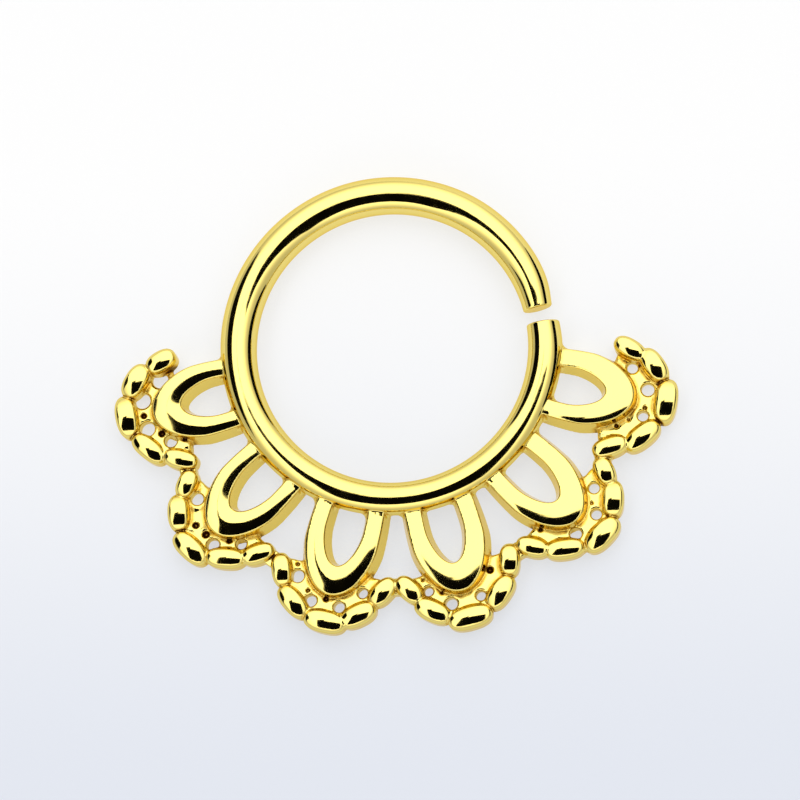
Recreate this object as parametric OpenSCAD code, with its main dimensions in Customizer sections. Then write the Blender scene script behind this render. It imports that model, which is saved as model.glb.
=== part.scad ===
// Cast lace-fan septum ring: a round wire hoop with one gap to bend open, and a flat-backed fan of
// petal loops, pierced lace webs and rice-shaped beads along its lower edge.
// It lies on its back. The origin is the centre of the hoop, on the plane of the flat back.
// X runs along the fan, Y runs up to the crown of the hoop, Z points out of the front. Millimetres.

/* [Hoop] */
// Inner diameter of the hoop
hole_d = 10; // [8:0.5:12]
// Wire diameter at the crown, where it is thickest
wire_d = 1.4; // [1.2:0.05:1.8]
// Width of the gap between the two cut ends
gap_w = 0.55; // [0.3:0.05:1.5]
// Angle of the gap above the horizontal, on the right
gap_angle = 10.5; // [8:0.5:20]
// Rounding of the rim of each cut end
end_round = 0.08; // [0.03:0.01:0.15]

/* [Petals] */
// Number of petals, each with its own scallop of lace
petal_count = 6; // [4:1:6]
// Depth of the petals, from the flat back to the front
petal_depth = 1.15; // [0.9:0.05:1.35]
// Length of a petal, from the outside of the hoop to its tip
petal_len = 3.2; // [2.6:0.1:4]
// How much shorter the two outermost petals are
side_short = 0.3; // [0:0.05:0.5]
// Width of a petal loop over both arms
petal_w = 2.66; // [2.2:0.02:3]
// Width of one arm of the loop
arm_w = 0.62; // [0.5:0.02:0.75]
// Width of the loop at its tip
tip_w = 1.05; // [0.85:0.05:1.2]
// Length of the loop's pointed end, from its widest place to the tip
bow_len = 1.95; // [1.7:0.05:2.2]
// Length of the pointed end of its opening
opening_bow = 1.4; // [1.2:0.05:1.6]
// How far each arm leans in at the hoop
root_lean = 0.13; // [0:0.01:0.2]
// Spread of the side walls from the front to the back
wall_flare = 0.18; // [0.1:0.01:0.22]
// Rounding of the front edges
edge_round = 0.2; // [0.1:0.02:0.22]

/* [Lace] */
// Radius of the row of beads round each scallop
scallop_r = 1.9; // [1.7:0.05:2.2]
// Distance from a petal's tip back to the centre of its scallop
scallop_inset = 0.83; // [0.7:0.01:1]
// Length of the middle bead of a scallop
bead_len = 1.62; // [1.4:0.02:1.8]
// Width of the middle bead
bead_w = 0.84; // [0.7:0.02:1]
// Height of the beads above the flat back
bead_height = 1.02; // [0.8:0.02:1.15]
// Spacing of the two beads where neighbouring scallops meet
valley_step = 1; // [0.8:0.05:1.1]
// Thickness of the pierced web
web_t = 0.55; // [0.4:0.05:0.8]
// How far the web reaches from the centre of its scallop towards the hoop
web_reach = 0.1; // [0:0.02:0.3]
// Distance from the row of beads in to the row of web holes
pierce_inset = 0.56; // [0.5:0.02:0.7]
// Diameter of the largest holes in the web
pierce_d = 0.46; // [0.3:0.02:0.5]
// Diameter of the granules on the web
granule_d = 0.34; // [0.26:0.02:0.4]

/* [Hidden] */

// Wire thickness round the hoop: [degrees from the upper cut end, share of wire_d].
wire_rows = [
    [0, 0.74], [7, 0.87], [17, 0.92], [32, 0.95], [48, 0.98], [92, 1], [160, 0.97],
    [220, 0.9], [257, 0.86], [287, 0.84], [325, 0.86], [345, 0.92], [355, 0.86]
];
wire_share_at_fan = 0.85;

// Beads of one scallop: [place in the row, lean in degrees, shares of bead_len, bead_w and bead_height].
bead_rows = [
    [-2, 14, 0.7, 0.88, 0.9], [-1, 0, 0.82, 0.94, 0.95], [0, 0, 1, 1, 1],
    [1, 0, 0.82, 0.94, 0.95], [2, -14, 0.7, 0.88, 0.9]
];
// Size of the small bead between two scallops, as a share of the middle bead.
valley_share = 0.8;
// Degrees from one place in the row of beads to the next, seen from the scallop's centre.
bead_step = 41;
// Radius of a bead's round ends, as a share of the radius at its middle.
bead_end_share = 0.55;

// Holes in one web: [place, share of pierce_d]. A place is counted in steps from the petal's tip.
pierce_rows = [[-1.5, 0.9], [-0.5, 0.95], [0.5, 1], [1.5, 0.85]];
// Granules stand between the holes: [place, share of granule_d].
granule_rows = [[-1.8, 0.9], [-1, 1], [0, 1.1], [1, 1], [1.8, 0.9]];
// Degrees from one place on the web to the next.
pierce_step = 44;

// Facets along and round each piece.
hoop_steps = 64;
wire_sides = 14;
bead_sides = 10;
granule_sides = 6;
pierce_sides = 10;
rim_sides = 48;
arc_sides = 96;
bow_steps = 14;
arm_steps = 2;

hoop_r = hole_d / 2;
wire_z = wire_d / 2;
hoop_out = hoop_r + wire_share_at_fan * wire_d;
half_gap = asin(gap_w / (hole_d + wire_d));
round_turn = asin(end_round / (hoop_r + wire_z));
hoop_start = gap_angle + half_gap;
hoop_turn = 360 - 2 * half_gap;

// The arms of a petal start this deep inside the wire.
root_sink = 0.3;
// Fullness of a pointed end. An ellipse has 2, and less is more pointed.
bow_power = 1.65;
// Rise of a petal's front from its edges to its middle.
dome = 0.06;
// How far the middle facet of a rounded edge is drawn in, as a share of edge_round.
corner_share = 0.3;

// The petals stand so far apart that the end beads of two scallops lie valley_step from each other.
end_bead = [
    hoop_out + petal_len - scallop_inset + scallop_r * cos(2 * bead_step),
    scallop_r * sin(2 * bead_step)
];
end_bead_angle = atan2(end_bead[1], end_bead[0]);
pitch = 2 * end_bead_angle + 2 * asin(valley_step / (2 * norm(end_bead)));
pierce_r = scallop_r - pierce_inset;
// How far the web reaches past the row of beads, under their outer sides.
web_rim = 0.24;
// Outer and inner edge of the strip of web between scallops, measured in from the end beads.
strip_out = 0.12;
strip_in = 0.52;
// Radius that lies well outside the fan.
far_out = 3 * hole_d;

// Direction of petal i, and the distance of its tip from the hoop's centre.
function petal_angle(i) = (i - (petal_count - 1) / 2) * pitch - 90;
function petal_tip(i) = hoop_out + petal_len - ((i == 0 || i == petal_count - 1) ? side_short : 0);

// Place of the end bead on one side of petal i's scallop.
function end_bead_place(i, side) =
    let (r = petal_tip(i) - hoop_out - petal_len + end_bead[0], a = petal_angle(i), v = side * end_bead[1])
    [r * cos(a) - v * sin(a), r * sin(a) + v * cos(a), 0];

// A closed skin over rings of equal length, with flat ends.
module skin(rings) {
    n = len(rings[0]);
    last = len(rings) - 1;
    sides = [
        for (j = [0 : last - 1], i = [0 : n - 1])
            let (a = j * n, b = a + n, k = (i + 1) % n)
            for (face = [[a + i, b + k, b + i], [a + i, a + k, b + k]]) face
    ];
    near = [for (i = [n - 1 : -1 : 0]) i];
    far = [for (i = [0 : n - 1]) last * n + i];
    polyhedron(points = [for (ring = rings) each ring], faces = concat(sides, [near, far]));
}

// One ring of the wire: the turn round the hoop, how far the rim is drawn in, and the ring's number.
// Each ring is turned by half a side from the one before, so that the facets are even triangles.
function wire_ring(turn, inset, j) =
    let (d = lookup(turn, wire_rows) * wire_d, r = d / 2 - inset, angle = hoop_start + turn)
    [
        for (i = [0 : wire_sides - 1])
            let (a = 360 * (i - j / 2) / wire_sides, out = hoop_r + d / 2 + r * cos(a))
            [out * cos(angle), out * sin(angle), wire_z + r * sin(a)]
    ];

module hoop() {
    run = hoop_turn - 2 * round_turn;
    skin([
        wire_ring(0, end_round, 0),
        for (j = [0 : hoop_steps]) wire_ring(round_turn + run * j / hoop_steps, 0, j),
        wire_ring(hoop_turn, end_round, hoop_steps)
    ]);
}

// Half of an edge of the loop, from the hoop to its tip, as seen from the front: half_w is half of its
// greatest width, end_u is its tip and len is its pointed end. The other half is its mirror image.
function half_edge(half_w, end_u, len) =
    let (root_u = hoop_out - root_sink, wide_u = end_u - len)
    [
        for (j = [0 : arm_steps - 1])
            let (share = 1 - j / arm_steps)
            [wide_u - (wide_u - root_u) * share, half_w - root_lean * share * share],
        for (j = [0 : bow_steps / 2])
            let (t = 180 * j / bow_steps)
            [wide_u + len * pow(sin(t), 2 / bow_power), half_w * cos(t)]
    ];

// The whole edge, drawn in or out by grow.
function edge(half_w, end_u, len, grow = 0) =
    let (half = half_edge(half_w + grow, end_u + grow, len), last = len(half) - 1)
    [
        for (i = [0 : last]) [half[i][0], -half[i][1]],
        for (i = [last - 1 : -1 : 0]) half[i]
    ];

function outer_edge(tip_u, grow = 0) = edge(petal_w / 2, tip_u, bow_len, grow);
function inner_edge(tip_u, grow = 0) = edge(petal_w / 2 - arm_w, tip_u - tip_w, opening_bow, grow);

// Cross-section of the loop between two facing points of its edges, flat at the back and gently domed at
// the front. The walls spread to the two points at the back.
function loop_section(out, in, back_out, back_in) =
    let (across = (in - out) / norm(in - out), top = petal_depth - dome, c = corner_share * edge_round)
    [
        for (q = [
            [back_out, 0], [out, top - edge_round], [out + c * across, top - c],
            [out + edge_round * across, top], [(out + in) / 2, petal_depth],
            [in - edge_round * across, top], [in - c * across, top - c], [in, top - edge_round],
            [back_in, 0]
        ]) [q[0][0], q[0][1], q[1]]
    ];

module petal(tip_u) {
    out = outer_edge(tip_u);
    in = inner_edge(tip_u);
    back_out = outer_edge(tip_u, wall_flare);
    back_in = inner_edge(tip_u, -wall_flare);
    skin([
        for (i = [0 : len(out) - 1]) loop_section(out[i], in[i], back_out[i], back_in[i])
    ]);
}

// The open middle of a petal, seen from the front.
module petal_opening(tip_u) {
    polygon(inner_edge(tip_u));
}

// A rice-shaped bead lying along Y. Its underside sinks into the web.
module bead(l, w, h) {
    mid_r = w / 2;
    end_r = bead_end_share * mid_r;
    hull() {
        translate([0, 0, h - mid_r]) sphere(mid_r, $fn = bead_sides);
        for (side = [-1, 1])
            translate([0, side * (l / 2 - end_r), h - mid_r]) sphere(end_r, $fn = bead_sides);
    }
}

// Everything that lies round the centre of petal i's scallop is drawn there, with +X away from the hoop.
module at_scallop(i) {
    rotate(petal_angle(i)) translate([petal_tip(i) - scallop_inset, 0, 0]) children();
}

module scallop_beads() {
    for (row = bead_rows)
        rotate(row[0] * bead_step) translate([scallop_r, 0, 0]) rotate(row[1])
            bead(row[2] * bead_len, row[3] * bead_w, row[4] * bead_height);
}

module granules() {
    for (row = granule_rows)
        rotate(row[0] * pierce_step) translate([pierce_r, 0, web_t])
            sphere(d = row[1] * granule_d, $fn = granule_sides);
}

// The small bead that joins the end beads of petal i and the next one.
module valley_bead(i) {
    a = end_bead_place(i, 1);
    b = end_bead_place(i + 1, -1);
    translate((a + b) / 2) rotate(atan2(b[1] - a[1], b[0] - a[0]) - 90)
        bead(norm(b - a), valley_share * bead_w, valley_share * bead_height);
}

// A sector from the hoop's centre, with a corner far outside the fan at each of the angles.
module sector(angles) {
    polygon([[0, 0], for (a = angles) far_out * [cos(a), sin(a)]]);
}

// One scallop of the web: a plate under the beads that ends at the two end beads and short of the hoop.
module scallop_plate(i) {
    difference() {
        intersection() {
            at_scallop(i) rotate(180 / rim_sides) circle(scallop_r + web_rim, $fn = rim_sides);
            sector([for (side = [-1, 0, 1]) petal_angle(i) + side * end_bead_angle]);
        }
        circle(petal_tip(i) - scallop_inset - web_reach, $fn = arc_sides);
    }
}

// The strip of web that runs from petal to petal between the scallops.
module valley_strip() {
    intersection() {
        difference() {
            circle(norm(end_bead) - strip_out, $fn = arc_sides);
            circle(norm(end_bead) - strip_in, $fn = arc_sides);
        }
        sector([
            for (i = [0 : petal_count - 2], side = [-1, 1])
                petal_angle(i + 0.5) + side * end_bead_angle / 2
        ]);
    }
}

module web() {
    linear_extrude(web_t) difference() {
        union() {
            for (i = [0 : petal_count - 1]) scallop_plate(i);
            valley_strip();
        }
        for (i = [0 : petal_count - 1]) {
            rotate(petal_angle(i)) petal_opening(petal_tip(i));
            at_scallop(i) for (row = pierce_rows)
                rotate(row[0] * pierce_step) translate([pierce_r, 0])
                    circle(d = row[1] * pierce_d, $fn = pierce_sides);
        }
    }
}

module septum_ring() {
    color([0.86, 0.68, 0.24]) union() {
        hoop();
        web();
        for (i = [0 : petal_count - 1]) {
            rotate(petal_angle(i)) petal(petal_tip(i));
            at_scallop(i) {
                scallop_beads();
                granules();
            }
        }
        for (i = [0 : petal_count - 2]) valley_bead(i);
    }
}

septum_ring();
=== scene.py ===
"""A gold septum ring with a fan of petal loops, pierced lace and rice-shaped beads, lying on a pale floor.

The whole ring is one surface. A function gives the signed distance to it in millimetres, from the hoop, the
petals, the web and the beads, blended where the casting has small fillets. A fine grid of that distance
is turned into a mesh, which stands for the CAD solid.
"""

import bpy
import numpy as np
from mathutils import Matrix


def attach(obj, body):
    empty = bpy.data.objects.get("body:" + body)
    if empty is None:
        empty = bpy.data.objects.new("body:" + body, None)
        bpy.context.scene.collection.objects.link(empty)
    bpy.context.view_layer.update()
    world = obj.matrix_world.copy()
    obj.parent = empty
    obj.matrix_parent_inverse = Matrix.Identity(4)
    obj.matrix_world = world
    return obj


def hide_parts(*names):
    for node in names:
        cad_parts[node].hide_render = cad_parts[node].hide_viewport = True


MM = 0.001

# Hoop
HOLE_R = 5.0
WIRE_D = 1.4
GAP_W = 0.55
GAP_ANGLE = 10.5
END_ROUND = 0.07
# Wire thickness round the hoop: degrees from the upper cut end, share of WIRE_D.
WIRE_ROWS = [
    (0, 0.74), (7, 0.87), (17, 0.92), (32, 0.95), (48, 0.98), (92, 1), (160, 0.97),
    (220, 0.9), (257, 0.86), (287, 0.84), (325, 0.86), (345, 0.92), (355, 0.86),
]
WIRE_SHARE_AT_FAN = 0.85
# Degrees that are smoothed together on each side, and degrees worked out past each cut end
WIRE_SMOOTHING = 9
WIRE_MARGIN = 30

# Petals
PETALS = 6
PETAL_DEPTH = 1.15
PETAL_LEN = 3.2
SIDE_SHORT = 0.3
# Half widths at the root and at the widest place, and how far these places are from the tip.
OUTER_EDGE = (1.17, 1.33, 1.95)
INNER_EDGE = (0.62, 0.71, 1.4)
TIP_W = 1.05
TIP_POWER = 1.65
WALL_FLARE = 0.18
EDGE_ROUND = 0.06
# Front of each petal: the power of its arch, its slope at the outer and the inner edge, and how far it leans
# back towards the crown in degrees.
PETAL_FRONTS = [
    (1.5, 0.3, 0.3, 0), (1.5, 0.3, 0.3, 0), (1.6, 0.33, 0.25, 0),
    (2, 0.31, 0.1, 2.5), (2, 0.31, 0.1, 3), (2, 0.31, 0.08, 5),
]
# Least half width of the band that the arch reckons with
LEAST_HALF_BAND = 0.25
# How much of what a short petal lacks is taken off its pointed end
BOW_SHORT = 0.4
ARM_STEPS = 15
BOW_STEPS = 40
ROOT_SINK = 0.6
ROOT_DROP = 0.1
ROOT_DROP_LEN = 1.6
# The arch is fuller at the hoop: rise of its power, length over which the rise fades, and where it starts
ROOT_POWER = 0.4
ROOT_POWER_LEN = 0.3
ROOT_POWER_START = -0.2
# Up to the height ROOT_TOP the fillet round a root narrows to ROOT_BLEND, over ROOT_FADE.
ROOT_BLEND = 0.03
ROOT_FILLET = 0.3
ROOT_TOP = 0.85
ROOT_FADE = 0.3

# Scallops
PITCH = 30.3
SCALLOP_R = 1.9
SCALLOP_INSET = 0.83
END_BEAD_R = 9.03
END_BEAD_ANGLE = 12.0

# Web
WEB_T = 0.5
WEB_REACH = 0.04
WEB_ROUND = 0.12
WEB_BLEND = 0.03
# Lean back towards the crown in degrees, and the angle from the petal at which it has faded out
WEB_LEAN = 9.5
LEAN_END = 13.5
LEAN_FADE = 3.5
PLATE_INSET = 0.03
PLATE_CORNER = 0.3
# Inner and outer edge of the strip between scallops, measured in from the end beads
STRIP_IN = 0.43
STRIP_OUT = 0.12
STRIP_OVERLAP = 0.5
STRIP_BLEND = 0.15
# Fillet between the web and its petal, seen from the front
PETAL_BLEND = 0.45
OPENING_INSET = 0.05
# Low relief on the web: waves, spokes between the holes and rims round them. A pit is PIT_STRETCH times as
# deep as its radius, about a middle that is PIT_RISE above the web.
WAVE_H = 0.024
WAVE_PHASE = 1.7
CAST_WAVES = [(6.1, 1.8, 3), (-2.7, 6.4, 2), (4.2, -5.2, 3), (8.3, 4.1, -3), (-6.8, 5.6, 2), (2.3, -8.1, 4)]
SPOKE_H = 0.045
SPOKE_W = 0.13
SPOKE_START = 0.4
RIM_H = 0.035
RIM_W = 0.1
RIM_AWAY = 0.1
HOLE_ROUND = 0.1
PIT_STRETCH = 2
PIT_RISE = 0.03
PIT_STEEP = 0.8
PIT_ROUND = 0.06

# Beads
BEAD_W = 0.84
BEAD_TOP = 1.0
# How far a bead's height follows its width
BEAD_TOP_SHARE = 0.25
# Drop of a bead's top at its ends and sides, as a share of half its length or width: along X and along Y
BEAD_DROP = (0.172, 0.404)
DROP_POWER = 2.2
DROP_LIMIT = 1.1
TOP_STEEP = 0.92
BEAD_EDGE = 0.14
BEAD_PLAN = 2.4
BEAD_BLEND = 0.07

# Small bead between two scallops
VALLEY_INSET = 0.16
VALLEY_HALF_W = 0.31
VALLEY_TOP = 0.72
VALLEY_DROP = (0.03, 0.02)
VALLEY_EDGE = 0.06
VALLEY_BLEND = 0.02

# Beads of each scallop from outside to inside the fan: angle and radius at the scallop's centre, lean,
# length and width. The places were picked by eye in the photo, and a separate script turned them into the
# angles and radii here and in HOLES and PITS. Leans, lengths and diameters started from these and were then
# changed one by one. side_of(i) gives the sign of angles and leans.
BEADS = [
    [
        (-87, 1.87, 12, 1.2, 0.82), (-50, 1.85, 4, 1.42, 0.84), (-7, 1.87, 3, 1.62, 0.82),
        (40, 1.77, -4, 1.5, 0.78), (80, 1.87, -19, 1.32, 0.76),
    ],
    [
        (-82, 1.95, 12, 1.15, 0.72), (-48, 1.87, 6, 1.42, 0.8), (-5, 1.88, 6, 1.56, 0.84),
        (40, 1.6, 0, 1.46, 0.8), (81, 1.81, -18, 1.26, 0.76),
    ],
    [
        (-80, 1.96, 10, 1.3, 0.74), (-42, 1.85, 6, 1.46, 0.8), (2, 1.8, -1, 1.56, 0.86),
        (43, 1.76, -3, 1.4, 0.82), (82, 1.89, -22, 1.26, 0.78),
    ],
    [
        (-84, 1.94, 10, 1.24, 0.76), (-46, 1.78, 7, 1.44, 0.8), (1, 1.8, 0, 1.66, 0.88),
        (47, 1.74, -6, 1.42, 0.82), (84, 1.9, -26, 1.22, 0.78),
    ],
    [
        (-82, 2.0, 12, 1.14, 0.74), (-50, 1.88, 8, 1.4, 0.8), (-7, 1.83, 8, 1.6, 0.86),
        (43, 1.6, -4, 1.46, 0.78), (82, 1.86, -22, 1.22, 0.76),
    ],
    [
        (-82, 1.87, 10, 1.26, 0.74), (-49, 1.92, 1, 1.42, 0.8), (-7, 2.0, 3, 1.68, 0.84),
        (40, 1.86, -1, 1.54, 0.8), (79, 1.88, -20, 1.34, 0.78),
    ],
]

# Holes through the web and pits in it: angle, radius and diameter
HOLES = [
    [(-75, 1.33, 0.58), (-31, 1.36, 0.58), (18, 1.3, 0.54), (65, 1.2, 0.44)],
    [(-73, 1.38, 0.44), (16, 1.25, 0.46), (67, 1.17, 0.38)],
    [(-73, 1.39, 0.46), (-28, 1.34, 0.44), (21, 1.26, 0.4), (68, 1.25, 0.36)],
    [(-26, 1.27, 0.36), (26, 1.26, 0.44), (70, 1.31, 0.34)],
    [(-73, 1.34, 0.38), (-29, 1.29, 0.38), (21, 1.16, 0.43)],
    [(-68, 1.32, 0.38), (-24, 1.35, 0.46), (20, 1.36, 0.38)],
]
PITS = [
    [(-70, 1.78, 0.18), (-5, 1.25, 0.22), (44, 1.05, 0.25), (92, 1.12, 0.22)],
    [(-29, 1.3, 0.25), (-6, 1.12, 0.28), (45, 0.95, 0.2)],
    [(-5, 1.0, 0.2), (-91, 1.44, 0.15), (-44, 1.17, 0.15)],
    [(-74, 1.18, 0.26), (91, 1.31, 0.12), (50, 1.0, 0.12)],
    [(88, 1.17, 0.16), (17, 0.8, 0.11), (-48, 1.08, 0.12)],
    [(7, 1.29, 0.16), (-62, 1.58, 0.12), (68, 1.12, 0.16), (42, 1.06, 0.12)],
]

# Fillet where the lace meets petals and hoop, and rounding of the edge of the flat back
LACE_BLEND = 0.06
BACK_ROUND = 0.04

HOOP_R_OUT = HOLE_R + WIRE_SHARE_AT_FAN * WIRE_D
WIRE_Z = WIRE_D / 2
FAN_TIP = HOOP_R_OUT + PETAL_LEN

# How far past its edge each part is worked out
ROOT_MARGIN = 0.3
PETAL_MARGIN = 0.5
LACE_MARGIN = 1.2
VALLEY_MARGIN = 1.2
HOOP_IN_MARGIN = 0.2
HOOP_OUT_MARGIN = 0.3

# Grid of the surface. The fan is looked for from 15 degrees above the horizontal, and FAN_START counts down.
# The work is done in parts to save memory, and FAR stands where no part of the ring is near.
GRID_STEP = 0.045
GRID_LOW = (-10.8, -11.0, -0.15)
GRID_HIGH = (10.8, 6.9, 1.6)
GRID_PARTS = 12
POINT_PARTS = 40
FAN_START = -15
FAR = 1.0
TINY = 1e-6
TRIANGLES = 196000

# Placing the mesh's points on the surface
SLOPE_STEP = 0.01
LEAST_SLOPE = 0.5
MOST_MOVE = 0.03
MOVES = 2
RECESS_REACH = 0.22

# Light: levels of the tent, the room round it and the black cards
TENT_LIGHT = 2.6
WALL_LIGHT = 0.8
CARD_LIGHT = 0.003
# Corners on the sky map, and the softness of the edges in degrees
TENT = ([(-36, -62), (36, -62), (46, -20), (50, 50), (36, 74), (-20, 74), (-50, 44), (-52, 0)], 56)
CARDS = [
    ([(-4, 9), (-17, 4.5), (-19, -2), (-7, -2)], 1.5),
    ([(28, 2), (-10, 4), (-19, 0), (-26, -36), (-24, -46), (33, -47)], 2.5),
    ([(-55, 50), (-69, 30), (-70, -4), (-64, -27), (-52, -14), (-37, 4), (-35, 16), (-42, 34)], 3),
    (
        [
            (70, 70), (60, 56), (58, 42), (67, 0), (74, -30),
            (84, -32), (100, 0), (106, 30), (100, 56), (84, 70),
        ],
        3,
    ),
]
DEGREES_IN_RADIAN = 57.2958
LEAST_FLAT = 1e-4

# Gold
PLATING = ((0.84, 0.68, 0.19, 1), (0.86, 0.7, 0.21, 1))
# Painted shade: a redder gold that recesses are coloured with
PAINTED_SHADE_GOLD = (0.78, 0.5, 0.07, 1)
# Painted shade: the dark brown of the deepest recesses
PAINTED_SHADE_BROWN = (0.14, 0.05, 0.01, 1)
EDGE_TINT = (0.95, 0.8, 0.46, 1)
# Scale per metre and detail of the noise in the colour, the polish and the surface
COLOUR_NOISE = (350.0, 2.0)
POLISH_NOISE = (2500.0, 3.0)
SURFACE_NOISE = (900.0, 2.0)
SURFACE_DEPTH = 0.006
POLISH = (0.05, 0.09)
RECESS_ROUGHNESS = 0.35
# How closed in a place is where painted shade starts to make it redder or dark brown, or it starts to be
# rougher, and where it is fully so
PAINTED_REDDER_SPAN = (0.2, 0.75)
PAINTED_BROWN_SPAN = (0.55, 0.85)
ROUGHER = (0.1, 0.5)
NOISE_SPAN = (0.3, 0.7)

# Floor: colours and glow near the camera's lower edge and far from it, and the two places along Y
FLOOR_R = 1500
FLOOR_GAP = 0.02
FLOOR_COLOURS = ((0.197, 0.211, 0.232, 1), (0.254, 0.254, 0.254, 1))
FLOOR_GLOWS = ((0.77, 0.795, 0.868, 1), (1, 1, 1, 1))
FLOOR_GLOW = 0.707
FLOOR_ROUGHNESS = 0.9
FLOOR_FADE = (-18, 8)

# Camera: direction and distance from the hoop, roll in degrees, and shift of the aim to the right and down.
# The nearest and farthest distances that it sees, CAMERA_CLIP, are in metres.
CAMERA_AWAY = (0.085, -0.168, 0.982)
CAMERA_DISTANCE = 160
CAMERA_ROLL = 1
AIM_RIGHT = 0.29
AIM_DOWN = 1.914
SENSOR_W = 36
LENS = 196
CAMERA_CLIP = (0.01, 10)


def cos(degrees):
    return np.cos(np.radians(degrees))


def sin(degrees):
    return np.sin(np.radians(degrees))


def petal_angle(i):
    return (i - (PETALS - 1) / 2) * PITCH - 90


def petal_tip(i):
    return FAN_TIP - (SIDE_SHORT if i in (0, PETALS - 1) else 0)


def turned(x, y, angle):
    """Coordinates in a frame that is turned by angle."""
    return x * cos(angle) + y * sin(angle), y * cos(angle) - x * sin(angle)


def smooth_min(a, b, k):
    """The lesser of two distances, with a fillet of about k between them."""
    h = np.clip(0.5 + 0.5 * (b - a) / k, 0, 1)
    return b + (a - b) * h - k * h * (1 - h)


def smooth_max(a, b, k):
    return -smooth_min(-a, -b, k)


def rounded_both(a, b, r):
    """Where both distances are negative, with an edge of radius r between them."""
    a, b = a + r, b + r
    return np.minimum(np.maximum(a, b), 0) + np.hypot(np.maximum(a, 0), np.maximum(b, 0)) - r


def wire_table():
    """Radius of the wire at each degree round the hoop from the upper cut end, smoothed."""
    turns = np.arange(-2 * WIRE_MARGIN, 361 + 2 * WIRE_MARGIN)
    rows = np.array(WIRE_ROWS)
    shares = np.interp(turns, rows[:, 0], rows[:, 1])
    window = np.hanning(2 * WIRE_SMOOTHING + 1)
    smooth = np.convolve(shares, window / window.sum(), "same")
    return turns[WIRE_MARGIN:-WIRE_MARGIN], smooth[WIRE_MARGIN:-WIRE_MARGIN] * WIRE_D / 2


WIRE_TURNS, WIRE_RADII = wire_table()


def hoop_field(x, y, z):
    half_gap = np.degrees(np.arcsin(GAP_W / (2 * HOLE_R + WIRE_D)))
    turn = (np.degrees(np.arctan2(y, x)) - GAP_ANGLE) % 360
    wire_r = np.interp(turn - half_gap, WIRE_TURNS, WIRE_RADII)
    out = np.hypot(x, y)
    tube = np.hypot(out - HOLE_R - wire_r, z - WIRE_Z) - wire_r
    # Distance past the nearer cut end, along the wire.
    to_end = np.minimum(turn, 360 - turn)
    past_end = out * np.radians(half_gap - to_end)
    return rounded_both(tube, past_end + 0 * z, END_ROUND)


def half_outline(edge, tip_u, top_u):
    """One side of an outline from the hoop to the tip, which is a pointed bow."""
    root_v, wide_v, reach = edge
    wide_u = tip_u - reach * (1 - BOW_SHORT * (FAN_TIP - top_u) / reach)
    root_u = HOOP_R_OUT - ROOT_SINK
    arm_u = np.linspace(root_u, wide_u, ARM_STEPS + 1)[:-1]
    arm_v = wide_v - (wide_v - root_v) * ((wide_u - arm_u) / (wide_u - root_u)) ** 2
    t = np.linspace(0, 90, BOW_STEPS + 1)
    bow_u = wide_u + (tip_u - wide_u) * sin(t) ** (2 / TIP_POWER)
    return np.concatenate([arm_u, bow_u]), np.concatenate([arm_v, wide_v * cos(t)])


def petal_outlines(tip_u):
    """Outer and inner edge of a petal loop: points away from the hoop's centre and aside."""
    outlines = []
    for edge, end in ((OUTER_EDGE, tip_u), (INNER_EDGE, tip_u - TIP_W)):
        u, v = half_outline(edge, end, tip_u)
        outlines.append(np.stack([np.append(u, u[-2::-1]), np.append(-v, v[-2::-1])], 1))
    return outlines


def outline_distance(u, v, line):
    """Signed distance to the region that an open outline and the straight line of its ends enclose."""
    a, b = line[:-1], line[1:]
    du, dv = (b - a).T
    pu, pv = u - a[:, 0], v - a[:, 1]
    t = np.clip((pu * du + pv * dv) / (du ** 2 + dv ** 2), 0, 1)
    distance = np.sqrt(((pu - t * du) ** 2 + (pv - t * dv) ** 2).min(1, keepdims=True))
    # Even-odd rule for the closed outline
    closed = np.concatenate([line, line[:1]])
    a, b = closed[:-1], closed[1:]
    spans = (a[:, 1] > v) != (b[:, 1] > v)
    dv = np.where(b[:, 1] == a[:, 1], 1, b[:, 1] - a[:, 1])
    left = u < a[:, 0] + (v - a[:, 1]) / dv * (b[:, 0] - a[:, 0])
    inside = (spans & left).sum(1, keepdims=True) % 2 == 1
    return np.where(inside, -distance, distance)


OUTLINES = {tip: petal_outlines(tip) for tip in {petal_tip(i) for i in range(PETALS)}}


def petal_field(u, v, z, i):
    """Petal i. u points away from the hoop's centre along it, and v aside."""
    outer_line, inner_line = OUTLINES[petal_tip(i)]
    outer = outline_distance(u, v, outer_line)
    inner = outline_distance(u, v, inner_line)
    band = np.maximum(outer, -inner)
    half = np.clip((np.abs(outer) + np.abs(inner)) / 2, LEAST_HALF_BAND, TIP_W / 2)
    across = np.clip((np.abs(inner) - np.abs(outer)) / (2 * half), -1, 1)
    # The front is an arch that flattens towards the hoop.
    power, outer_slope, inner_slope, lean = PETAL_FRONTS[i]
    power = power + ROOT_POWER * np.exp(-np.maximum(u - HOOP_R_OUT, ROOT_POWER_START) / ROOT_POWER_LEN)
    slope = np.where(across > 0, outer_slope, inner_slope)
    top = PETAL_DEPTH - slope * half / power * np.abs(across) ** power
    top = top - ROOT_DROP * np.clip(1 - (u - HOOP_R_OUT) / ROOT_DROP_LEN, 0, 1) ** 2
    crownward = (u - HOOP_R_OUT - PETAL_LEN / 2) * sin(petal_angle(i)) + v * cos(petal_angle(i))
    top = top - np.tan(np.radians(lean)) * crownward
    wall = band - WALL_FLARE * np.clip(1 - z / PETAL_DEPTH, 0, 1)
    return rounded_both(wall, z - top, EDGE_ROUND)


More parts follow.
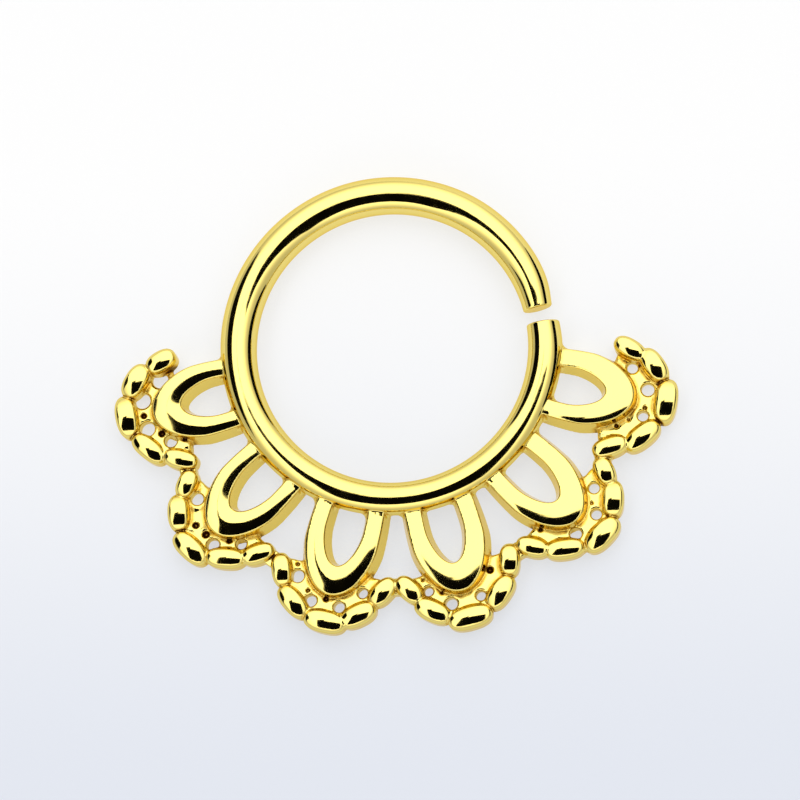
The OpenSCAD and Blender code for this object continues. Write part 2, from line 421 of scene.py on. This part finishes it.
def pillow_field(x, y, z, centre, direction, half, top, drop, edge=BEAD_EDGE):
    """A bead with straight sides and a cushion-shaped top. half is half its length and width, and drop is
    how far its top falls to its ends and to its sides."""
    along, across = turned(x - centre[0], y - centre[1], direction)
    a, b = np.abs(along) / half[0], np.abs(across) / half[1]
    plan = np.maximum(a ** BEAD_PLAN + b ** BEAD_PLAN, TINY) ** (1 / BEAD_PLAN)
    slope = np.hypot((a / plan) ** (BEAD_PLAN - 1) / half[0], (b / plan) ** (BEAD_PLAN - 1) / half[1])
    side = (plan - 1) / np.maximum(slope, LEAST_SLOPE / half[0])
    end_drop = drop[0] * np.minimum(a, DROP_LIMIT) ** DROP_POWER
    side_drop = drop[1] * np.minimum(b, DROP_LIMIT) ** DROP_POWER
    height = top - end_drop - side_drop
    return rounded_both(side, TOP_STEEP * (z - height), edge)


def unevenness(x, y, z):
    """A smooth uneven field between about -1 and 1."""
    total = 0
    for k, (kx, ky, kz) in enumerate(CAST_WAVES):
        total = total + np.sin(kx * x + ky * y + kz * z + WAVE_PHASE * k)
    return total / len(CAST_WAVES)


def at_scallop(x, y, i):
    u, v = turned(x, y, petal_angle(i))
    return u - (petal_tip(i) - SCALLOP_INSET), v


def side_of(i):
    """The sign of scallop i's angles and leans, which count from outside to inside the fan."""
    return 1 if i < PETALS / 2 else -1


def direction_from_petal(x, y, i):
    """Angle from petal i's middle line, seen from the hoop's centre."""
    away, aside = turned(x, y, petal_angle(i))
    return np.degrees(np.arctan2(aside, away))


def web_outline(x, y, i, petal):
    """The web seen from the front: the plate under the beads and the strip to the next scallops, with a
    fillet to the petal."""
    u, v = at_scallop(x, y, i)
    out = np.hypot(x, y)
    direction = direction_from_petal(x, y, i)
    disc = np.hypot(u, v) - SCALLOP_R + PLATE_INSET
    hoopward = (petal_tip(i) - SCALLOP_INSET - WEB_REACH) - out
    aside = out * np.radians(np.abs(direction) - END_BEAD_ANGLE)
    plate = smooth_max(np.maximum(disc, aside), hoopward, PLATE_CORNER)
    strip = np.maximum(END_BEAD_R - STRIP_IN - out, out - END_BEAD_R + STRIP_OUT)
    outer_side = (direction > 0) == (i == PETALS - 1)
    limit = np.where(outer_side & (i in (0, PETALS - 1)), END_BEAD_ANGLE, PITCH / 2 + STRIP_OVERLAP)
    strip = np.maximum(strip, out * np.radians(np.abs(direction) - limit))
    return smooth_min(smooth_min(plate, strip, STRIP_BLEND), petal, PETAL_BLEND)


def round_places(u, v, i, rows):
    """Distance from the middle of each hole or pit of scallop i, seen from the front, and its diameter."""
    side = side_of(i)
    return [(np.hypot(u - r * cos(side * angle), v - r * sin(side * angle)), d) for angle, r, d in rows]


def web_top(x, y, z, i, holes):
    """Height of the web's front, with low spokes between the holes and a low rim round each hole."""
    u, v = at_scallop(x, y, i)
    crownward = u * sin(petal_angle(i)) + v * cos(petal_angle(i))
    fade = np.clip((LEAN_END - np.abs(direction_from_petal(x, y, i))) / LEAN_FADE, 0, 1)
    lean = np.tan(np.radians(WEB_LEAN)) * fade
    top = WEB_T + WAVE_H * unevenness(x, y, z) - lean * crownward
    angles = [hole[0] for hole in HOLES[i]]
    for angle in [(a + b) / 2 for a, b in zip(angles, angles[1:])]:
        along, across = turned(u, v, side_of(i) * angle)
        top = top + SPOKE_H * np.exp(-(across / SPOKE_W) ** 2 / 2) * np.clip(along - SPOKE_START, 0, 1)
    for away, d in holes:
        top = top + RIM_H * np.exp(-((away - d / 2 - RIM_AWAY) / RIM_W) ** 2 / 2)
    return top


def web_field(x, y, z, i, petal):
    """The lace round petal i, without its beads. petal is the distance to the petal's outline."""
    u, v = at_scallop(x, y, i)
    holes = round_places(u, v, i, HOLES[i])
    top = web_top(x, y, z, i, holes)
    web = rounded_both(web_outline(x, y, i, petal), z - top, WEB_ROUND)
    for away, d in holes:
        web = smooth_max(web, d / 2 - away + 0 * z, HOLE_ROUND)
    for away, d in round_places(u, v, i, PITS[i]):
        pit = PIT_STEEP * (np.hypot(away, (z - top - PIT_RISE) / PIT_STRETCH) - d / 2)
        web = smooth_max(web, -pit, PIT_ROUND)
    return web


def bead_fields(x, y, z, i):
    """The beads of scallop i, one after the other."""
    u, v = at_scallop(x, y, i)
    side = side_of(i)
    for angle, r, lean, length, width in BEADS[i]:
        angle *= side
        top = BEAD_TOP * (1 - BEAD_TOP_SHARE + BEAD_TOP_SHARE * width / BEAD_W)
        centre = (r * cos(angle), r * sin(angle))
        direction = angle + side * lean + 90
        steep = sin(petal_angle(i) + direction) ** 2
        half = (length / 2, width / 2)
        drop = [
            reach * (BEAD_DROP[0] + (BEAD_DROP[1] - BEAD_DROP[0]) * share)
            for reach, share in zip(half, (steep, 1 - steep))
        ]
        yield pillow_field(u, v, z, centre, direction, half, top, drop)


def end_bead_place(i, side):
    """Place of the bead that ends scallop i on one side."""
    angle, r = BEADS[i][-1 if side == side_of(i) else 0][:2]
    angle *= side_of(i)
    u = petal_tip(i) - SCALLOP_INSET + r * cos(angle)
    v = r * sin(angle)
    a = petal_angle(i)
    return np.array([u * cos(a) - v * sin(a), u * sin(a) + v * cos(a)])


def valley_bead_field(x, y, z, i):
    """The small bead between scallop i and the next one."""
    a, b = end_bead_place(i, 1), end_bead_place(i + 1, -1)
    middle, span = (a + b) / 2, b - a
    middle = middle * (1 - VALLEY_INSET / np.hypot(*middle))
    half = (np.hypot(*span) / 2, VALLEY_HALF_W)
    direction = np.degrees(np.arctan2(span[1], span[0]))
    top = VALLEY_TOP - np.tan(np.radians(WEB_LEAN)) * (y - middle[1])
    return pillow_field(x, y, z, middle, direction, half, top, VALLEY_DROP, VALLEY_EDGE)


def blend_in(f, near, part, k):
    """Blends a part into f at the columns that are near it."""
    f[near] = smooth_min(f[near], part, k)


def ring_field(x, y, z):
    """Signed distance to the ring. x and y are columns, and z is one row or a column too."""
    f = hoop_field(x, y, z)
    one_z = len(z) == 1

    def column(near):
        return x[near], y[near], z if one_z else z[near]

    for i in range(PETALS):
        u, v = turned(x, y, petal_angle(i))
        along = (u > HOOP_R_OUT - ROOT_SINK - ROOT_MARGIN) & (u < petal_tip(i) + PETAL_MARGIN)
        near = (along & (np.abs(v) < OUTER_EDGE[1] + PETAL_MARGIN))[:, 0]
        xn, yn, zn = column(near)
        un, vn = turned(xn, yn, petal_angle(i))
        fillet = ROOT_BLEND + (ROOT_FILLET - ROOT_BLEND) * np.clip((ROOT_TOP - zn) / ROOT_FADE, 0, 1)
        blend_in(f, near, petal_field(un, vn, zn, i), fillet)

    lace = np.full(f.shape, FAR)
    for i in range(PETALS):
        u, v = at_scallop(x, y, i)
        near = (np.hypot(u, v) < SCALLOP_R + LACE_MARGIN)[:, 0]
        xn, yn, zn = column(near)
        un, vn = turned(xn, yn, petal_angle(i))
        petal, opening = (outline_distance(un, vn, line) for line in OUTLINES[petal_tip(i)])
        web = web_field(xn, yn, zn, i, petal)
        web = np.maximum(web, -opening - OPENING_INSET)
        blend_in(lace, near, web, WEB_BLEND)
        for bead in bead_fields(xn, yn, zn, i):
            blend_in(lace, near, bead, BEAD_BLEND)
    for i in range(PETALS - 1):
        middle = (end_bead_place(i, 1) + end_bead_place(i + 1, -1)) / 2
        near = (np.hypot(x - middle[0], y - middle[1]) < VALLEY_MARGIN)[:, 0]
        xn, yn, zn = column(near)
        blend_in(lace, near, valley_bead_field(xn, yn, zn, i), VALLEY_BLEND)
    f = smooth_min(f, lace, LACE_BLEND)
    return smooth_max(f, -z + 0 * x, BACK_ROUND)


def sampled_ring():
    """The ring's distance field on a grid, with the grid's lowest corner."""
    low = np.array(GRID_LOW)
    high = np.array(GRID_HIGH)
    counts = np.ceil((high - low) / GRID_STEP).astype(int) + 1
    xs, ys, zs = (low[k] + GRID_STEP * np.arange(counts[k]) for k in range(3))
    x, y = (a.reshape(-1, 1) for a in np.meshgrid(xs, ys, indexing="ij"))
    out = np.hypot(x, y)
    direction = np.degrees(np.arctan2(-y, np.abs(x)))
    at_hoop = out < HOLE_R + WIRE_D + HOOP_OUT_MARGIN
    near = ((out > HOLE_R - HOOP_IN_MARGIN) & (at_hoop | (direction > FAN_START)))[:, 0]
    values = np.full((len(x), len(zs)), FAR, np.float32)
    rows = np.flatnonzero(near)
    for part in np.array_split(rows, GRID_PARTS):
        values[part] = ring_field(x[part], y[part], zs[None, :])
    return values.reshape(counts), low


def surface_net(values, low, step):
    """Points and quads of the surface where the values of a grid change sign."""
    cells = np.array(values.shape) - 1
    sums = np.zeros((np.prod(cells), 3))
    counts = np.zeros(np.prod(cells))
    quads = []
    for axis in range(3):
        others = [(axis + 1) % 3, (axis + 2) % 3]
        first = np.moveaxis(values, axis, 0)[:-1]
        last = np.moveaxis(values, axis, 0)[1:]
        crossing = np.moveaxis((first < 0) != (last < 0), 0, axis)
        at = np.argwhere(crossing)
        at = at[(at[:, others] > 0).all(1) & (at[:, others] < cells[others]).all(1)]
        ahead = at.copy()
        ahead[:, axis] += 1
        v0, v1 = values[tuple(at.T)], values[tuple(ahead.T)]
        point = at.astype(float)
        point[:, axis] += v0 / (v0 - v1)
        corners = []
        for da, db in ((-1, -1), (0, -1), (0, 0), (-1, 0)):
            cell = at.copy()
            cell[:, others[0]] += da
            cell[:, others[1]] += db
            index = np.ravel_multi_index(cell.T, cells)
            corners.append(index)
            counts += np.bincount(index, minlength=len(counts))
            for k in range(3):
                sums[:, k] += np.bincount(index, point[:, k], minlength=len(counts))
        corners = np.stack(corners, 1)
        quads.append(np.where((v0 < 0)[:, None], corners, corners[:, ::-1]))
    quads = np.concatenate(quads)
    used, quads = np.unique(quads, return_inverse=True)
    points = sums[used] / counts[used][:, None]
    return low + step * points, quads.reshape(-1, 4)


def field_at(points):
    """The distance field at points, a part of them at a time."""
    x, y, z = (points[:, k:k + 1] for k in range(3))
    values = np.empty(len(points))
    for part in np.array_split(np.arange(len(points)), POINT_PARTS):
        values[part] = ring_field(x[part], y[part], z[part])[:, 0]
    return values


def field_slope(points):
    """Gradient of the distance field at points."""
    slopes = []
    for k in range(3):
        shift = np.zeros(3)
        shift[k] = SLOPE_STEP
        slopes.append(field_at(points + shift) - field_at(points - shift))
    return np.stack(slopes, 1) / (2 * SLOPE_STEP)


def ring_mesh():
    """The ring as one closed mesh in metres, with smooth normals taken from the distance field."""
    values, low = sampled_ring()
    points, quads = surface_net(values, low, GRID_STEP)
    mesh = bpy.data.meshes.new("ring_fine")
    mesh.from_pydata(points * MM, [], quads.tolist())
    fine = bpy.data.objects.new("ring_fine", mesh)
    bpy.context.scene.collection.objects.link(fine)
    thin = fine.modifiers.new("thin", "DECIMATE")
    thin.ratio = TRIANGLES / (2 * len(quads))
    bpy.context.view_layer.update()
    shown = fine.evaluated_get(bpy.context.evaluated_depsgraph_get())
    result = bpy.data.meshes.new_from_object(shown)
    result.name = "septum_ring_cast"
    bpy.data.objects.remove(fine)
    bpy.data.meshes.remove(mesh)

    count = len(result.vertices)
    flat = np.empty(count * 3)
    result.vertices.foreach_get("co", flat)
    points = flat.reshape(-1, 3) / MM
    for _ in range(MOVES):
        slope = field_slope(points)
        size = np.maximum((slope ** 2).sum(1, keepdims=True), LEAST_SLOPE ** 2)
        move = -field_at(points)[:, None] * slope / size
        points += np.clip(move, -MOST_MOVE, MOST_MOVE)
    result.vertices.foreach_set("co", (points * MM).ravel())
    slope = field_slope(points)
    normals = slope / np.maximum(np.linalg.norm(slope, axis=1, keepdims=True), TINY)
    result.polygons.foreach_set("use_smooth", np.ones(len(result.polygons), bool))
    result.update()
    result.normals_split_custom_set_from_vertices(normals.tolist())
    # How far the metal round a point closes it in, from 0 on open surfaces to 1. The gold paints shade into
    # recesses by it and makes them rougher.
    recess = np.clip(1 - field_at(points + RECESS_REACH * normals) / RECESS_REACH, 0, 1)
    result.attributes.new("recess", "FLOAT", "POINT").data.foreach_set("value", recess)
    return result


class Nodes:
    """Short names for the nodes of one node tree."""

    def __init__(self, tree):
        self.tree = tree
        tree.nodes.clear()

    def add(self, kind, **settings):
        node = self.tree.nodes.new(kind)
        for name, value in settings.items():
            setattr(node, name, value)
        return node

    def put(self, socket, value):
        if isinstance(value, bpy.types.NodeSocket):
            self.tree.links.new(value, socket)
        else:
            socket.default_value = value

    def math(self, operation, *values):
        node = self.add("ShaderNodeMath", operation=operation)
        for socket, value in zip(node.inputs, values):
            self.put(socket, value)
        return node.outputs[0]

    def ramp(self, value, low, high, to_low=0.0, to_high=1.0):
        node = self.add("ShaderNodeMapRange", interpolation_type="SMOOTHSTEP")
        names = ("Value", "From Min", "From Max", "To Min", "To Max")
        for name, setting in zip(names, (value, low, high, to_low, to_high)):
            self.put(node.inputs[name], setting)
        return node.outputs["Result"]

    def mix(self, share, a, b):
        node = self.add("ShaderNodeMix", data_type="RGBA")
        for socket, value in zip((node.inputs[0], node.inputs[6], node.inputs[7]), (share, a, b)):
            self.put(socket, value)
        return node.outputs[2]


def card(n, px, py, corners, soft):
    """Share of a card at a place of the sky map. Its corners run counterclockwise."""
    share = None
    for (x0, y0), (x1, y1) in zip(corners, corners[1:] + corners[:1]):
        length = float(np.hypot(x1 - x0, y1 - y0))
        nx, ny = (y1 - y0) / length, (x0 - x1) / length
        along = n.math("ADD", n.math("MULTIPLY", px, nx), n.math("MULTIPLY", py, ny))
        reach = nx * x0 + ny * y0
        inside = n.ramp(along, reach - soft / 2, reach + soft / 2, 1.0, 0.0)
        share = inside if share is None else n.math("MULTIPLY", share, inside)
    return share


def light_studio():
    """A white tent with black cards, as the light that the gold mirrors. The sky map gives each
    direction by its angle from straight up in degrees, to the right and towards the crown."""
    world = bpy.data.worlds.new("studio")
    bpy.context.scene.world = world
    world.use_nodes = True
    n = Nodes(world.node_tree)
    split = n.add("ShaderNodeSeparateXYZ")
    n.put(split.inputs[0], n.add("ShaderNodeTexCoord").outputs["Generated"])
    x, y, z = split.outputs
    upward = n.math("MINIMUM", n.math("MAXIMUM", z, -1.0), 1.0)
    from_top = n.math("MULTIPLY", n.math("ARCCOSINE", upward), DEGREES_IN_RADIAN)
    squares = n.math("ADD", n.math("MULTIPLY", x, x), n.math("MULTIPLY", y, y))
    flat = n.math("MAXIMUM", n.math("SQRT", squares), LEAST_FLAT)
    px = n.math("MULTIPLY", n.math("DIVIDE", x, flat), from_top)
    py = n.math("MULTIPLY", n.math("DIVIDE", y, flat), from_top)
    tent = card(n, px, py, *TENT)
    level = n.math("ADD", n.math("MULTIPLY", tent, TENT_LIGHT - WALL_LIGHT), WALL_LIGHT)
    for corners, soft in CARDS:
        level = n.math("MULTIPLY", level, n.math("SUBTRACT", 1.0, card(n, px, py, corners, soft)))
    level = n.math("ADD", level, CARD_LIGHT)
    back = n.add("ShaderNodeBackground")
    n.put(back.inputs["Strength"], level)
    n.put(n.add("ShaderNodeOutputWorld").inputs["Surface"], back.outputs[0])


def gold():
    """Polished gold plating, a little uneven from polishing. Recesses are rougher, and painted shade makes
    them redder and the deepest dark brown."""
    material = bpy.data.materials.new("polished_gold_plating")
    material.use_nodes = True
    n = Nodes(material.node_tree)
    place = n.add("ShaderNodeTexCoord").outputs["Object"]
    closed = n.add("ShaderNodeAttribute", attribute_name="recess").outputs["Fac"]
    # Painted shade: how far recesses are turned to a redder gold
    recess = n.ramp(closed, *PAINTED_REDDER_SPAN)

    def noise(scale, detail):
        node = n.add("ShaderNodeTexNoise")
        n.put(node.inputs["Vector"], place)
        n.put(node.inputs["Scale"], scale)
        n.put(node.inputs["Detail"], detail)
        return node.outputs[0]

    shader = n.add("ShaderNodeBsdfPrincipled")
    plating = n.mix(noise(*COLOUR_NOISE), *PLATING)
    shade = n.mix(recess, plating, PAINTED_SHADE_GOLD)
    # Painted shade: the deepest recesses are mixed towards dark brown
    n.put(shader.inputs["Base Color"], n.mix(n.ramp(closed, *PAINTED_BROWN_SPAN), shade, PAINTED_SHADE_BROWN))
    n.put(shader.inputs["Metallic"], 1.0)
    n.put(shader.inputs["Specular Tint"], EDGE_TINT)
    polish = n.ramp(noise(*POLISH_NOISE), *NOISE_SPAN, *POLISH)
    rougher = n.ramp(closed, *ROUGHER, 0.0, RECESS_ROUGHNESS)
    n.put(shader.inputs["Roughness"], n.math("ADD", polish, rougher))
    bump = n.add("ShaderNodeBump")
    n.put(bump.inputs["Height"], noise(*SURFACE_NOISE))
    n.put(bump.inputs["Distance"], SURFACE_DEPTH * MM)
    n.put(shader.inputs["Normal"], bump.outputs[0])
    n.put(n.add("ShaderNodeOutputMaterial").inputs["Surface"], shader.outputs[0])
    return material


def pale_floor():
    """A matt floor with a glow of its own, bluer and darker towards the camera's lower edge."""
    mesh = bpy.data.meshes.new("pale_floor")
    r, z = FLOOR_R * MM, -FLOOR_GAP * MM
    mesh.from_pydata([(-r, -r, z), (r, -r, z), (r, r, z), (-r, r, z)], [], [(0, 1, 2, 3)])
    floor = bpy.data.objects.new("pale_floor", mesh)
    bpy.context.scene.collection.objects.link(floor)
    material = bpy.data.materials.new("matt_white")
    material.use_nodes = True
    n = Nodes(material.node_tree)
    shader = n.add("ShaderNodeBsdfPrincipled")
    split = n.add("ShaderNodeSeparateXYZ")
    n.put(split.inputs[0], n.add("ShaderNodeTexCoord").outputs["Object"])
    far = n.ramp(split.outputs[1], *(y * MM for y in FLOOR_FADE))
    n.put(shader.inputs["Base Color"], n.mix(far, *FLOOR_COLOURS))
    n.put(shader.inputs["Emission Color"], n.mix(far, *FLOOR_GLOWS))
    shader.inputs["Emission Strength"].default_value = FLOOR_GLOW
    shader.inputs["Roughness"].default_value = FLOOR_ROUGHNESS
    n.put(n.add("ShaderNodeOutputMaterial").inputs["Surface"], shader.outputs[0])
    mesh.materials.append(material)


def place_camera():
    """A long lens that looks down at the hoop about 11 degrees from the lower right, as in the photo."""
    target = np.array([0, 0, WIRE_Z])
    away = np.array(CAMERA_AWAY)
    away /= np.linalg.norm(away)
    eye = target + CAMERA_DISTANCE * away

    def axes(forward):
        right = np.cross(forward, (0, 1, 0))
        right /= np.linalg.norm(right)
        up = np.cross(right, forward)
        turn_cos, turn_sin = cos(CAMERA_ROLL), sin(CAMERA_ROLL)
        return right * turn_cos - up * turn_sin, right * turn_sin + up * turn_cos

    right, up = axes(-away)
    aim = target + AIM_RIGHT * right - AIM_DOWN * up
    forward = (aim - eye) / np.linalg.norm(aim - eye)
    right, up = axes(forward)
    data = bpy.data.cameras.new("photo_camera")
    data.sensor_width = SENSOR_W
    data.lens = LENS
    data.clip_start, data.clip_end = CAMERA_CLIP
    camera = bpy.data.objects.new("photo_camera", data)
    bpy.context.scene.collection.objects.link(camera)
    turn = np.eye(4)
    turn[:3] = np.stack([right, up, -forward, eye * MM], 1)
    camera.matrix_world = Matrix(turn.tolist())
    bpy.context.scene.camera = camera


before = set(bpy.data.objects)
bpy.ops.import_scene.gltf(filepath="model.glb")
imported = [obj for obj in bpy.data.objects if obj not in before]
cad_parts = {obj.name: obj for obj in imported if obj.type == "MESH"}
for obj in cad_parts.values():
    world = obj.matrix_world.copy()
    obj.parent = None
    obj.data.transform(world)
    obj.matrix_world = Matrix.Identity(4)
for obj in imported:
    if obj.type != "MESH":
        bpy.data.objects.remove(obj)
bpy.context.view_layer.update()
bpy.context.scene.view_settings.view_transform = "Standard"

ring = bpy.data.objects.new("septum_ring_cast", ring_mesh())
bpy.context.scene.collection.objects.link(ring)
ring.data.materials.append(gold())
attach(ring, "root")
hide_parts("septum_ring")

pale_floor()
light_studio()
place_camera()

bpy.context.view_layer.update()
